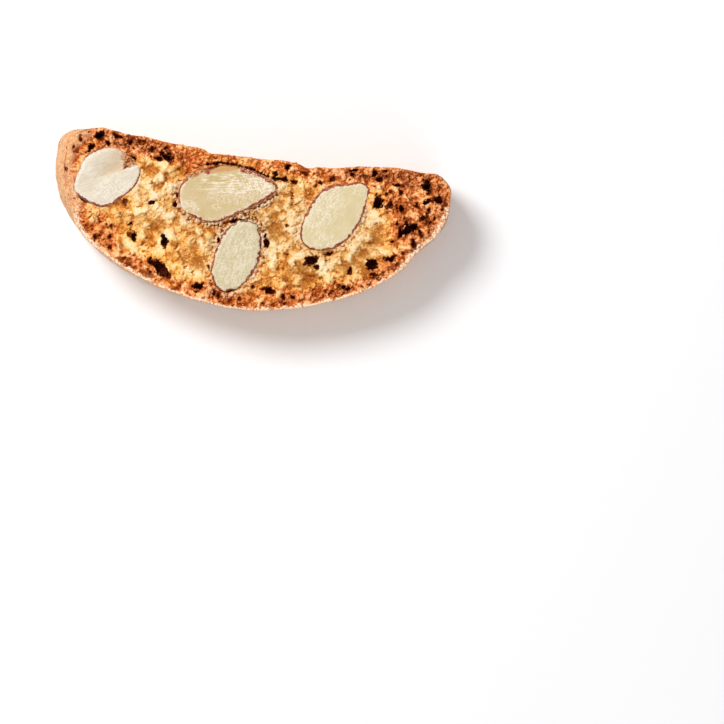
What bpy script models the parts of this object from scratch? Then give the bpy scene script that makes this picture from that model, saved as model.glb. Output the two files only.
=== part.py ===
"""Almond biscotti: one slice of a twice-baked almond log, lying on one of its cut faces.

The log's flat base looks along +Y and its domed crust along -Y. The underside, at z = 0, and the
upper cut face are the two faces that the knife left, and the log ran obliquely between them, so
the crust leans outwards at the -X end. Four almonds were cut through with the log. Three of them
run from one cut face to the other, and the long one in the middle ends inside the crumb.
"""

import math

import bmesh
import bpy
from mathutils import Matrix, Vector, noise

MM = 0.001

# The slice, in millimetres.
LENGTH = 80.0
THICKNESS = 15.0
WIDEST_Y = 8.5  # the line along which the slice is longest
BASE_HEIGHT = 7.8  # from that line up to the base of the log
DOME_DEPTH = 24.8  # from that line down to the top of the dome
BASE_SAG = 2.3  # how far the base bows in at its middle
SAG_HALF_SPAN = 36.0
BASE_CORNER = 6.5  # superellipse exponents: a high one gives a square corner
LEFT_DOME = 1.95
RIGHT_DOME = 1.78

# Bumps and nicks along the base: (x, height, half width), in millimetres.
BASE_BUMPS = (
    (-33.5, 0.3, 3.0),
    (-27.5, -0.3, 2.0),
    (-12.5, 0.4, 1.5),
    (-10.1, -0.5, 1.8),
    (4.0, 0.3, 2.4),
    (10.3, -0.8, 1.4),
    (15.0, -0.7, 4.2),
    (36.5, 0.5, 1.4),
)
SHOULDER_PINCH = (35.6, -1.8, 3.0)  # the same for the dome's right shoulder

# How far the crust stands inside the widest outline, in millimetres: at the underside, at half
# the thickness and at the upper cut face.
LEFT_INSET = (0.4, 0.25, 3.3)
RIGHT_INSET = (1.8, 0.0, 1.3)
BASE_INSET = (0.7, 0.1, 0.1)
DOME_INSET = (0.3, 0.1, 1.2)

SEGMENTS = 120  # an even number, because the two sides pair up
UNDER_RINGS = 2
CRUST_RINGS = 6
UPPER_RINGS = 6
RIM_ROUNDING = 0.35
SPINE = 0.66  # a face's rings shrink towards a line along this much of the length
INNERMOST = 0.86  # how near to that line they come
CRUST_WAVE = 0.28  # height of the crust's waves, and the two rates at which they vary
CRUST_RATES = (0.19, 0.45)
CRUMB_WAVE = 0.6  # the same for the relief of the upper cut face
CRUMB_RATES = (0.26, 0.6)
SHARP_DEGREES = 40.0

# The almonds' sections in the upper cut face, clockwise, in millimetres.
LEFT_SECTION = (
    (-33.0, 10.0), (-29.8, 11.9), (-26.9, 11.9), (-23.6, 9.9), (-22.7, 8.1), (-23.4, 5.6),
    (-25.6, 3.2), (-28.9, 0.8), (-32.2, 1.7), (-34.8, 3.4), (-34.3, 6.8),
)  # fmt: skip
CENTRE_SECTION = (
    (-14.1, 5.4), (-12.9, 8.0), (-9.6, 10.3), (-5.3, 11.7), (-0.7, 11.3), (3.8, 9.8),
    (5.1, 8.6), (2.7, 6.1), (-1.8, 3.1), (-6.0, 0.7), (-10.2, 0.9), (-13.3, 2.7),
)  # fmt: skip
LOWER_SECTION = (
    (-1.9, 0.6), (0.8, 0.9), (2.4, -0.7), (3.0, -4.2), (2.5, -7.6), (0.8, -10.8),
    (-1.6, -12.6), (-4.2, -12.3), (-5.4, -9.6), (-5.1, -5.0), (-3.7, -1.4),
)  # fmt: skip
RIGHT_SECTION = (
    (22.3, 11.7), (23.3, 10.4), (22.8, 6.8), (21.2, 2.2), (18.4, -0.9), (14.8, -2.1),
    (11.9, -1.1), (11.4, 1.8), (12.8, 6.6), (15.4, 10.2), (19.2, 11.2),
)  # fmt: skip

# name: (section, swell below the cut, shift to the underside, turn in degrees, size there).
# A size of None is an almond that ends inside the crumb, END_DEPTH below the cut face.
ALMONDS = {
    "almond_left": (LEFT_SECTION, 0.03, (-3.2, -0.8), 14.0, 0.84),
    "almond_centre": (CENTRE_SECTION, 0.0, (-2.0, 2.0), 0.0, None),
    "almond_lower": (LOWER_SECTION, 0.05, (2.6, 1.6), -16.0, 0.80),
    "almond_right": (RIGHT_SECTION, 0.03, (-3.4, -3.6), 22.0, 0.66),
}
END_DEPTH = 6.4
NOTCH = ((-26.1, 8.6), (-25.0, 12.5), (-22.5, 10.2))  # where the left almond's halves part
NOTCH_DEPTH = 3.0
ALMOND_SEGMENTS = 30
ALMOND_RINGS = 5
ALMOND_RECESS = 0.15  # from each cut face
POCKET_GAP = 0.3
CUTTER_REACH = 1.5

# The largest pores of the two cut faces: (x, y, half length, half width, turn in degrees).
UPPER_PORES = (
    (-31.6, 14.2, 0.9, 0.7, 20.0),
    (-33.6, 12.2, 1.2, 0.8, 35.0),
    (-24.3, 10.9, 1.3, 0.8, -40.0),
    (-17.6, 11.8, 1.9, 0.9, -28.0),
    (-22.2, -4.4, 1.1, 0.6, 80.0),
    (-15.9, -4.7, 1.3, 0.8, -80.0),
    (-16.1, -10.3, 1.9, 1.4, -30.0),
    (-7.8, -12.7, 1.5, 0.8, 10.0),
    (4.7, -2.6, 1.3, 0.6, -75.0),
    (6.3, -11.9, 1.6, 0.8, -15.0),
    (13.7, -4.8, 1.7, 1.2, 15.0),
    (25.6, 8.4, 1.4, 1.0, -75.0),
    (25.9, -3.9, 1.5, 1.3, 0.0),
    (29.4, -2.4, 1.5, 0.7, 25.0),
    (32.4, 3.9, 2.1, 1.1, 48.0),
    (34.6, 12.6, 1.2, 0.8, -20.0),
)
LOWER_PORES = (
    (-35.6, 11.9, 1.3, 0.8, 30.0),
    (-25.0, -2.6, 1.6, 0.9, -35.0),
    (-17.4, 9.8, 1.8, 1.2, 15.0),
    (-14.6, -6.4, 1.5, 1.0, 70.0),
    (-6.8, 4.4, 2.0, 1.0, -20.0),
    (-5.2, -12.0, 1.5, 0.8, 8.0),
    (4.4, 10.2, 1.4, 1.0, 40.0),
    (12.2, -8.4, 1.9, 1.2, 25.0),
    (22.6, 9.6, 1.6, 1.1, -50.0),
    (26.8, -1.0, 1.7, 1.0, 35.0),
    (33.2, 7.4, 1.4, 0.9, 75.0),
)
PORE_DEPTH = 2.4
PORE_RAGGED = 0.28  # how much its radius varies, and at what rate
PORE_RATE = 1.7

CRUMB_COLOUR = (0.66, 0.36, 0.13, 1.0)
ALMOND_COLOUR = (0.74, 0.63, 0.42, 1.0)


def clear_scene():
    for obj in list(bpy.data.objects):
        bpy.data.objects.remove(obj)


def new_collection(name):
    collection = bpy.data.collections.new(name)
    bpy.context.scene.collection.children.link(collection)
    return collection


def matte_material(name, colour, roughness):
    material = bpy.data.materials.new(name)
    material.use_nodes = True
    shader = material.node_tree.nodes["Principled BSDF"]
    shader.inputs["Base Color"].default_value = colour
    shader.inputs["Roughness"].default_value = roughness
    shader.inputs["Metallic"].default_value = 0.0
    return material


def object_from(bm, name, collection, location=(0.0, 0.0, 0.0)):
    """Makes an object of a bmesh that is in millimetres round its own origin.

    Its faces become triangles, because a Boolean cuts a twisted face badly.
    """
    bmesh.ops.recalc_face_normals(bm, faces=bm.faces)
    bmesh.ops.triangulate(bm, faces=bm.faces)
    bmesh.ops.scale(bm, vec=(MM, MM, MM), verts=bm.verts)
    mesh = bpy.data.meshes.new(name)
    bm.to_mesh(mesh)
    bm.free()
    obj = bpy.data.objects.new(name, mesh)
    obj.location = Vector(location) * MM
    collection.objects.link(obj)
    return obj


def hide_cutter(obj):
    obj.hide_render = True
    obj.display_type = "WIRE"


def evenly_spaced(points, count):
    """count points at equal steps along a closed line."""
    closed = points + points[:1]
    lengths = [(b - a).length for a, b in zip(closed, closed[1:])]
    step = sum(lengths) / count
    found, passed, index = [], 0.0, 0
    for n in range(count):
        while passed + lengths[index] < n * step:
            passed += lengths[index]
            index += 1
        share = (n * step - passed) / lengths[index]
        found.append(closed[index].lerp(closed[index + 1], share))
    return found


def loop_through(points, steps=12):
    """A closed Catmull-Rom line through the points, as 2D vectors."""
    knots = [Vector(p) for p in points]
    line = []
    for i in range(len(knots)):
        a, b, c, d = (knots[(i + k) % len(knots)] for k in (-1, 0, 1, 2))
        for n in range(steps):
            t = n / steps
            line.append(
                0.5
                * (
                    2 * b
                    + (c - a) * t
                    + (2 * a - 5 * b + 4 * c - d) * t * t
                    + (3 * b - 3 * c + d - a) * t * t * t
                )
            )
    return [p for p, q in zip(line, line[-1:] + line[:-1]) if (p - q).length > 1e-6]


def bump(x, centre, height, half_width):
    return height * math.exp(-(((x - centre) / half_width) ** 2))


def base_y(x):
    """The flat base of the log: square corners, a bow inwards, and a few bumps."""
    corner = (1 - abs(2 * x / LENGTH) ** BASE_CORNER) ** (1 / BASE_CORNER)
    sag = BASE_SAG * max(0.0, 1 - (x / SAG_HALF_SPAN) ** 2) ** 2
    bumps = sum(bump(x, *each) for each in BASE_BUMPS)
    return WIDEST_Y + BASE_HEIGHT * corner - sag + bumps * corner


def dome_y(x):
    """The domed crust: half an ellipse, a little more pointed on the right."""
    power = LEFT_DOME if x < 0 else RIGHT_DOME
    arc = (1 - abs(2 * x / LENGTH) ** power) ** (1 / power)
    return WIDEST_Y - DOME_DEPTH * arc - bump(x, *SHOULDER_PINCH)


def crust_outline():
    """The widest outline of the slice, seen from above, anticlockwise from its right end.

    Its points lie in pairs, one on the base and one on the dome at the same x.
    """
    line = []
    for n in range(SEGMENTS):
        x = LENGTH / 2 * math.cos(2 * math.pi * n / SEGMENTS)
        line.append(Vector((x, base_y(x) if n <= SEGMENTS / 2 else dome_y(x))))
    return line


def at_level(insets, level):
    """A smooth value through three: at the underside, half way up and at the cut face."""
    under, middle, upper = insets
    return (
        under * (1 - level) * (1 - 2 * level)
        + 4 * middle * level * (1 - level)
        + upper * level * (2 * level - 1)
    )


def spine_point(p):
    """The point on the slice's middle line, at even steps, that an outline's point shrinks to."""
    share = math.asin(max(-1.0, min(1.0, 2 * p.x / LENGTH))) / (math.pi / 2)
    x = share * SPINE * LENGTH / 2
    return Vector((x, (base_y(x) + dome_y(x)) / 2))


def slice_ring(outline, level, rounding=0.0, inwards=0.0):
    """A ring at a level from 0, the underside, to 1, the upper cut face.

    inwards goes from 0 at the crust to 1 at the middle line.
    """
    low_x = -LENGTH / 2 + at_level(LEFT_INSET, level) + rounding
    high_x = LENGTH / 2 - at_level(RIGHT_INSET, level) - rounding
    low_y = -DOME_DEPTH + at_level(DOME_INSET, level) + rounding
    high_y = BASE_HEIGHT - at_level(BASE_INSET, level) - rounding
    ring = []
    for edge in outline:
        p = edge.lerp(spine_point(edge), inwards)
        across = (p.x + LENGTH / 2) / LENGTH
        up = (p.y - WIDEST_Y + DOME_DEPTH) / (DOME_DEPTH + BASE_HEIGHT)
        ring.append(
            Vector(
                (
                    low_x + across * (high_x - low_x),
                    WIDEST_Y + low_y + up * (high_y - low_y),
                    level * THICKNESS,
                )
            )
        )
    return ring


def close_with_face(bm, ring):
    edges = [bm.edges.get((a, b)) for a, b in zip(ring, ring[1:] + ring[:1])]
    bmesh.ops.contextual_create(bm, geom=edges)


def close_with_rungs(bm, ring):
    """Fills a long ring with faces between the pairs of points across it."""
    for n in range(len(ring) // 2):
        corners = dict.fromkeys((ring[n], ring[n + 1], ring[-n - 1], ring[-n]))
        bmesh.ops.contextual_create(bm, geom=list(corners))


def loft(rings, close=close_with_face):
    """A closed solid through rings of equally many points, by extruding the first one's edges."""
    bm = bmesh.new()
    first = bmesh.ops.create_circle(bm, segments=len(rings[0]), radius=1.0)["verts"]
    for vert, place in zip(first, rings[0]):
        vert.co = place
    edges = list(bm.edges)
    last = first
    for ring in rings[1:]:
        made = bmesh.ops.extrude_edge_only(bm, edges=edges)["geom"]
        edges = [e for e in made if isinstance(e, bmesh.types.BMEdge)]
        fresh = {v for v in made if isinstance(v, bmesh.types.BMVert)}
        above = []
        for vert in last:
            ends = (edge.other_vert(vert) for edge in vert.link_edges)
            above.append(next(end for end in ends if end in fresh))
        for vert, place in zip(above, ring):
            vert.co = place
        last = above
    close(bm, first)
    close(bm, last)
    return bm


def two_noises(place, rates):
    broad, fine = rates
    return noise.noise(place * broad) + 0.5 * noise.noise(place * fine)


def roughen(bm):
    """Gives the crust its low waves and the upper cut face its broken relief."""
    bm.normal_update()
    for vert in bm.verts:
        place = vert.co.copy()
        if place.z >= THICKNESS:
            crag = 0.5 + 0.6 * two_noises(place, CRUMB_RATES)
            vert.co.z -= max(0.0, crag) * CRUMB_WAVE
        elif place.z > 0:
            outward = Vector((vert.normal.x, vert.normal.y, 0.0))
            vert.co += outward * two_noises(place, CRUST_RATES) * CRUST_WAVE


def make_biscuit(collection):
    """The baked dough: rings over the underside, up the crust and over the upper cut face."""
    outline = crust_outline()
    rim = RIM_ROUNDING / THICKNESS
    rings = []
    for n in range(UNDER_RINGS, -1, -1):
        rings.append(slice_ring(outline, 0.0, RIM_ROUNDING, INNERMOST * n / UNDER_RINGS))
    for n in range(CRUST_RINGS + 1):
        rings.append(slice_ring(outline, rim + (1 - 2 * rim) * n / CRUST_RINGS))
    for n in range(UPPER_RINGS + 1):
        rings.append(slice_ring(outline, 1.0, RIM_ROUNDING, INNERMOST * n / UPPER_RINGS))
    bm = loft(rings, close_with_rungs)
    bmesh.ops.recalc_face_normals(bm, faces=bm.faces)
    roughen(bm)
    biscuit = object_from(bm, "biscuit", collection)
    biscuit.data.materials.append(matte_material("baked_dough", CRUMB_COLOUR, 0.85))
    biscuit.data.shade_smooth()
    biscuit.data.set_sharp_from_angle(angle=math.radians(SHARP_DEGREES))
    return biscuit


def almond_rings(spec, grow, depths):
    """Rings of an almond at these depths below the upper cut face, round its own centre."""
    section, swell, shift, turn, low_size = spec
    knots = [Vector(p) for p in section]
    centre = sum(knots, Vector((0.0, 0.0))) / len(knots)
    line = evenly_spaced(loop_through([k - centre for k in knots]), ALMOND_SEGMENTS)
    rings = []
    for depth in depths:
        share = depth / THICKNESS
        if low_size is None:
            sink = max(0.0, depth / END_DEPTH)
            size = math.sqrt(1 - sink * sink)
        else:
            sink = 0.0
            size = 1 + (low_size - 1) * share * share + swell * math.sin(math.pi * share)
        rotation = Matrix.Rotation(math.radians(turn * share), 2)
        ring = []
        for i, p in enumerate(line):
            along = line[(i + 1) % len(line)] - line[i - 1]
            outward = Vector((-along.y, along.x)).normalized()
            flat = rotation @ (p * size + outward * grow) + Vector(shift) * share
            ring.append(Vector((flat.x, flat.y, -depth - grow * sink)))
        rings.append(ring)
    return centre, rings


def almond_depths(low_size):
    """How deep an almond's rings lie: evenly to the underside, or round its end."""
    if low_size is None:
        turns = [math.pi / 2 * n / ALMOND_RINGS for n in range(ALMOND_RINGS)]
        return [max(ALMOND_RECESS, END_DEPTH * math.sin(turn)) for turn in turns]
    step = (THICKNESS - 2 * ALMOND_RECESS) / ALMOND_RINGS
    return [ALMOND_RECESS + step * n for n in range(ALMOND_RINGS + 1)]


def make_almond(name, spec, collection, material):
    centre, rings = almond_rings(spec, 0.0, almond_depths(spec[-1]))
    almond = object_from(loft(rings), name, collection, (*centre, THICKNESS))
    almond.data.materials.append(material)
    almond.data.shade_smooth()
    almond.data.set_sharp_from_angle(angle=math.radians(SHARP_DEGREES))
    return almond


def make_notch(collection):
    """The cutter of the wedge between the two halves of the left almond."""
    low = [Vector((x, y, THICKNESS - NOTCH_DEPTH)) for x, y in NOTCH]
    high = [Vector((x, y, THICKNESS + CUTTER_REACH)) for x, y in NOTCH]
    notch = object_from(loft([low, high]), "notch", collection)
    hide_cutter(notch)


def make_pocket(name, spec, collection):
    """The cutter of an almond's pocket, a gap larger than the almond all round."""
    depths = [-CUTTER_REACH, *almond_depths(spec[-1])]
    if spec[-1] is not None:
        depths.append(THICKNESS + CUTTER_REACH)
    centre, rings = almond_rings(spec, POCKET_GAP, depths)
    pocket = object_from(loft(rings), name + "_pocket", collection, (*centre, THICKNESS))
    hide_cutter(pocket)


def make_pore(name, pore, height, collection):
    """The cutter of one pore: a ragged egg that straddles a cut face."""
    x, y, half_length, half_width, turn = pore
    bm = bmesh.new()
    bmesh.ops.create_icosphere(bm, subdivisions=2, radius=1.0)
    for vert in bm.verts:
        ragged = 1 + PORE_RAGGED * noise.noise(vert.co * PORE_RATE + Vector((x, y, height)))
        vert.co *= ragged
    bmesh.ops.scale(bm, vec=(half_length, half_width, PORE_DEPTH), verts=bm.verts)
    cutter = object_from(bm, name, collection, (x, y, height))
    cutter.rotation_euler.z = math.radians(turn)
    hide_cutter(cutter)


def cut_with(obj, cutters):
    for cutter in cutters.objects:
        cut = obj.modifiers.new(cutter.name, "BOOLEAN")
        cut.operation = "DIFFERENCE"
        cut.object = cutter
        cut.solver = "EXACT"


def main():
    clear_scene()
    parts = new_collection("almond_biscotti")
    pockets = new_collection("pocket_cutters")
    pores = new_collection("pore_cutters")
    notches = new_collection("notch_cutters")

    biscuit = make_biscuit(parts)
    kernel = matte_material("almond_kernel", ALMOND_COLOUR, 0.6)
    for name, spec in ALMONDS.items():
        make_almond(name, spec, parts, kernel)
        make_pocket(name, spec, pockets)
    for n, pore in enumerate(UPPER_PORES):
        make_pore(f"upper_pore_{n + 1}", pore, THICKNESS, pores)
    for n, pore in enumerate(LOWER_PORES):
        make_pore(f"lower_pore_{n + 1}", pore, 0.0, pores)
    make_notch(notches)
    cut_with(biscuit, pockets)
    cut_with(biscuit, pores)
    cut_with(parts.objects["almond_left"], notches)


main()
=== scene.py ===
"""Almond biscotti: the crumb, the crust and the cut almonds of one slice."""

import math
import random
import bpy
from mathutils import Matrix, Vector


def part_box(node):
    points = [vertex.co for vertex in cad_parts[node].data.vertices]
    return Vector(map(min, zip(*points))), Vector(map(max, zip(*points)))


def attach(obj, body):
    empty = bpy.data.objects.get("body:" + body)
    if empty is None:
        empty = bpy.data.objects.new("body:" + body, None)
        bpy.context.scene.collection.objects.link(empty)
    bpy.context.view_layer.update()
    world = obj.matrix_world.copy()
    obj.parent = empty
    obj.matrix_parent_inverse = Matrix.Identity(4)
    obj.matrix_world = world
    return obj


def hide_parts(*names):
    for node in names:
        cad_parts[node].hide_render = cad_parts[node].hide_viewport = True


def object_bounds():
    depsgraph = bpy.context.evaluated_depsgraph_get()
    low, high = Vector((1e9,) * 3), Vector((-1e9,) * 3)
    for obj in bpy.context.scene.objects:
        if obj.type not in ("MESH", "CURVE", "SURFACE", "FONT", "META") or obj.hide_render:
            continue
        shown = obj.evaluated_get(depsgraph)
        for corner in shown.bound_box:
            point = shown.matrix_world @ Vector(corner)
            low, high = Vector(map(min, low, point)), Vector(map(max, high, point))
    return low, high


bl_info = {
    "name": "Almond biscotti",
    "version": (1, 0, 0),
    "blender": (4, 5, 0),
    "location": "View3D > Sidebar > Biscotti",
    "description": "Crumb, crust and cut almonds of one slice of almond biscotti",
    "category": "Add Mesh",
}

import bmesh
import bpy
from bpy.props import FloatProperty, FloatVectorProperty, IntProperty, PointerProperty
from mathutils import Matrix, Vector, kdtree, noise

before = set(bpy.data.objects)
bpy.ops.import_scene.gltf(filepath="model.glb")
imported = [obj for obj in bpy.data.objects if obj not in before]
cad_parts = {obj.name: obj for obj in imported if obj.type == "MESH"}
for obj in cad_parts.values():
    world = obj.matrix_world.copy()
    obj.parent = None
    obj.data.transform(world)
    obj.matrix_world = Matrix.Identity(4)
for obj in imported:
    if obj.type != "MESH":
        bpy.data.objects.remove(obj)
cad_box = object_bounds()

MM = 0.001
THICKNESS = (cad_box[1].z - cad_box[0].z) / MM

# A cut face's crumb lies within the first of these depths, in millimetres, and everything that
# belongs to the cut within the second one.
CUT_DEPTH = 2.6
CUT_REACH = 3.0
# Where the rim's y is over this, it is the log's base. Its right tip starts at this x.
BASE_SIDE = 9.5
RIGHT_TIP = 35.0
# Bubbles and pits are scattered within this far from the middle, along x and y.
SCATTER = (39.5, 16.0)

# Places and sizes on the upper cut face are in millimetres, with the log's base along +Y.
# A hole is (x, y, half length, half width, turn in degrees, depth).
HOLES_ALONG_THE_BASE = (
    (-31.6, 15.0, 0.8, 0.6, 8, 1.8),
    (-27.9, 15.0, 0.9, 0.35, -8, 1.2),
    (-29.8, 13.3, 0.45, 0.45, 8, 1.2),
    (-36.3, 11.6, 0.25, 0.22, 8, 0.6),
    (-33.5, 15.2, 0.25, 0.22, 8, 0.6),
    (-25.4, 13.9, 0.5, 0.3, 8, 1.0),
    (-24.4, 12.8, 0.5, 0.35, 8, 1.0),
    (-17.7, 12.6, 1.2, 0.35, -22, 1.4),
    (-19.2, 11.3, 0.6, 0.45, 8, 1.2),
    (-18.1, 13.9, 0.4, 0.3, 8, 0.9),
    (5.8, 10.7, 1.0, 0.4, -2, 1.4),
    (4.4, 11.6, 0.5, 0.4, 8, 1.2),
    (8.3, 10.6, 0.5, 0.4, -22, 1.2),
    (6.7, 12.7, 0.35, 0.5, 8, 1.0),
    (16.0, 12.0, 0.6, 0.5, 8, 0.8),
    (13.4, 11.0, 0.4, 0.3, 8, 0.8),
    (19.4, 14.4, 0.8, 0.35, 8, 1.5),
    (24.1, 14.2, 0.5, 0.6, 8, 1.5),
    (25.4, 13.2, 0.6, 0.5, 8, 1.5),
    (19.9, 13.3, 0.5, 0.3, 8, 1.0),
    (26.1, 15.0, 0.4, 0.3, 8, 1.0),
    (28.9, 12.6, 0.7, 0.3, 8, 1.1),
)
HOLES_AT_THE_RIGHT_END = (
    (29.9, 11.0, 0.3, 0.5, 8, 0.9),
    (27.0, 10.3, 0.3, 0.3, 8, 0.9),
    (27.8, 8.2, 0.8, 0.8, 8, 0.8),
    (30.3, 7.8, 0.6, 0.75, 8, 1.8),
    (34.8, 13.4, 0.7, 0.9, 8, 1.6),
    (37.4, 10.5, 0.8, 0.75, 8, 1.9),
    (35.1, 10.0, 0.7, 0.35, 22, 1.4),
    (35.8, 8.2, 0.35, 0.4, 8, 1.1),
    (33.6, 8.6, 0.8, 0.35, -12, 1.0),
    (33.9, 4.4, 0.55, 0.55, 8, 1.5),
    (34.9, 3.2, 0.35, 0.5, 8, 1.2),
    (34.9, 6.6, 0.4, 0.6, 8, 1.1),
    (33.6, 1.5, 0.4, 0.7, 8, 1.4),
    (29.5, 1.2, 0.4, 0.35, 8, 1.2),
    (30.0, 4.9, 0.3, 0.3, 8, 0.9),
)
HOLES_IN_THE_MIDDLE = (
    (-19.5, 2.7, 0.5, 0.45, 8, 1.4),
    (-23.0, -2.2, 0.6, 0.3, 8, 1.1),
    (-14.5, 4.8, 0.4, 0.6, 8, 1.2),
    (-14.6, 2.8, 0.3, 0.5, 8, 1.0),
    (-13.4, 9.4, 0.5, 0.3, 8, 1.0),
    (8.1, 1.5, 0.4, 0.35, 8, 0.4),
    (9.2, -9.3, 0.5, 0.4, 8, 0.25),
    (-5.0, -3.0, 0.3, 0.5, 8, 1.0),
    (-6.3, -8.9, 0.3, 0.8, 8, 1.0),
    (15.2, -5.9, 0.45, 0.4, 8, 1.2),
    (16.9, -3.0, 0.7, 0.4, 8, 1.2),
    (21.9, -5.9, 0.5, 0.7, 8, 1.0),
    (26.7, -5.8, 0.8, 0.5, 8, 1.0),
)
HOLES_OF_THE_SOLID = (
    (-31.6, 14.2, 0.9, 0.7, 20, 0.5),
    (-33.0, 11.9, 1.0, 0.5, 60, 0.9),
    (-24.3, 10.9, 1.2, 0.45, -45, 0.3),
    (-17.6, 11.8, 1.5, 0.5, -30, 0.3),
    (-22.2, -4.4, 1.1, 0.45, -65, 0.9),
    (-15.9, -4.7, 1.25, 0.65, -75, 0.9),
    (-15.9, -10.3, 2.7, 0.95, -34, 1.0),
    (-7.8, -12.7, 1.2, 0.55, 0, 0.7),
    (4.4, -2.5, 1.2, 0.6, -75, 0.8),
    (6.3, -11.9, 1.2, 0.55, -10, 0.5),
    (13.7, -4.8, 1.5, 1.1, 15, 0.4),
    (25.5, 8.5, 1.25, 0.8, -80, 1.0),
    (25.9, -3.9, 1.25, 1.05, 0, 0.8),
    (29.4, -2.4, 1.4, 0.55, 22, 0.7),
    (32.2, 3.9, 2.3, 0.8, 42, 1.0),
    (34.7, 12.8, 1.2, 0.65, -15, 0.6),
)
HOLES_NEAR_THE_DOME = (
    (-26.8, -5.4, 0.25, 0.6, 8, 1.1),
    (-27.7, -3.0, 0.3, 0.6, 8, 0.9),
    (-26.5, -7.4, 0.45, 0.45, 8, 1.0),
    (-24.4, -6.8, 0.7, 0.9, 8, 0.2),
    (-29.2, -5.4, 0.7, 0.6, 8, 0.2),
    (-18.6, -11.4, 1.2, 0.6, -22, 0.2),
    (-3.9, -13.9, 1.8, 0.5, -20, 0.25),
    (2.8, -11.6, 0.3, 0.4, 8, 0.9),
    (15.7, -8.1, 0.6, 0.5, 8, 0.35),
    (21.4, -9.4, 0.9, 0.4, 8, 1.1),
    (19.6, -9.1, 0.7, 0.4, 8, 0.35),
    (11.7, -10.4, 0.9, 0.4, 8, 0.2),
)
GAP_OVER_THE_LONG_ALMOND = (
    (-9.9, 11.4), (-8.3, 11.8), (-6.8, 12.2), (-5.2, 12.35), (-3.2, 12.2),
    (-0.5, 11.8), (1.1, 11.3), (3.2, 10.8), (4.6, 10.4),
)  # fmt: skip
GAP_BETWEEN_ALMONDS = ((-3.2, 0.8), (-1.9, 1.3), (-0.4, 1.2), (0.8, 0.8))

# Where the crumb is browner than its surroundings: (x, y, half length, half width, turn, how much).
BROWNED = (
    (34.0, 7.5, 7.0, 9.0, 0, 0.5),
    (28.0, 12.0, 6.0, 4.0, 0, 0.2),
    (-22.0, 13.2, 7.5, 1.8, -8, 0.5),
    (22.0, 13.6, 7.0, 1.4, 0, 0.5),
    (32.0, 5.0, 3.5, 2.6, 45, 0.35),
    (-12.0, 10.5, 3.0, 2.0, 0, 0.3),
    (-28.0, -4.0, 4.0, 2.4, -50, 0.35),
    (-19.0, -10.5, 4.5, 1.8, -30, 0.4),
    (-5.0, -13.2, 6.0, 1.4, -8, 0.4),
    (8.0, -12.2, 6.0, 1.6, 0, 0.35),
    (20.0, -9.8, 8.0, 1.8, 18, 0.35),
    (28.5, -4.5, 3.5, 2.0, 40, 0.35),
    (-27.0, 7.0, 11.0, 11.0, 0, 0.1),
    (-32.0, 13.5, 4.5, 2.5, 10, 0.22),
    (-35.0, 7.0, 2.5, 6.0, 0, 0.12),
)

# Where it stayed pale, in the same terms.
PALE = (
    (-18.5, 4.5, 5.5, 6.0, 0, 0.42),
    (-14.5, -1.0, 6.5, 3.0, -20, 0.3),
    (-25.0, 0.0, 3.0, 2.0, 30, 0.2),
    (7.5, 4.0, 4.5, 7.0, 0, 0.55),
    (16.0, -4.0, 8.0, 3.0, 10, 0.36),
    (25.0, 1.5, 3.2, 4.5, -20, 0.4),
    (23.5, -4.5, 3.0, 2.5, 0, 0.3),
    (-8.5, -5.5, 3.0, 4.0, 0, 0.16),
    (10.5, -6.0, 3.0, 4.0, 0, 0.14),
    (3.0, 2.5, 5.0, 4.0, 20, 0.2),
    (5.5, -8.5, 2.5, 3.0, 0, 0.12),
    (-3.0, 12.6, 8.0, 1.8, -5, 0.2),
)
USUAL_BROWNING = 0.4

# Where the almonds have stained the crumb: (x, y, half length, half width, turn, how much).
STAINED = (
    (0.8, 2.3, 3.4, 1.2, 12, 0.6),
    (3.9, -2.2, 1.2, 3.6, 0, 0.6),
    (-6.2, -2.6, 1.3, 3.4, 0, 0.6),
    (-4.6, -0.3, 2.2, 1.2, -30, 0.6),
)

# What the dough's material reads at each of its points, from 0 to 1, and the crumb's shades from
# the palest.
DOUGH_MARKS = ("relief", "brown", "pore", "crust", "rim", "stain", "chalk")
CRUMB_SHADES = ("cream", "gold", "toast", "baked")

# Shares in the crumb's height, where it is pale and where it is brown, of waves about a clump
# across, waves about a lump across, broken chunks, bits of them, and the finest unevenness.
PALE_HEIGHTS = (1.15, 0.9, 0.55, 0.27, 0.36)
BROWN_HEIGHTS = (0.3, 0.42, 0.4, 0.66, 0.6)


def tone(red, green, blue):
    """A colour given as a screen shows it, from 0 to 255, as Blender stores it."""
    found = []
    for part in (red / 255, green / 255, blue / 255):
        found.append(part / 12.92 if part <= 0.04045 else ((part + 0.055) / 1.055) ** 2.4)
    return (*found, 1.0)


def colour_property(name, description, *shade):
    return FloatVectorProperty(
        name=name, description=description, default=tone(*shade), subtype="COLOR",
        size=4, min=0, max=1
    )


def length_property(name, description, default):
    return FloatProperty(
        name=name, description=description, default=default, min=0.0, unit="LENGTH", precision=5
    )


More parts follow.
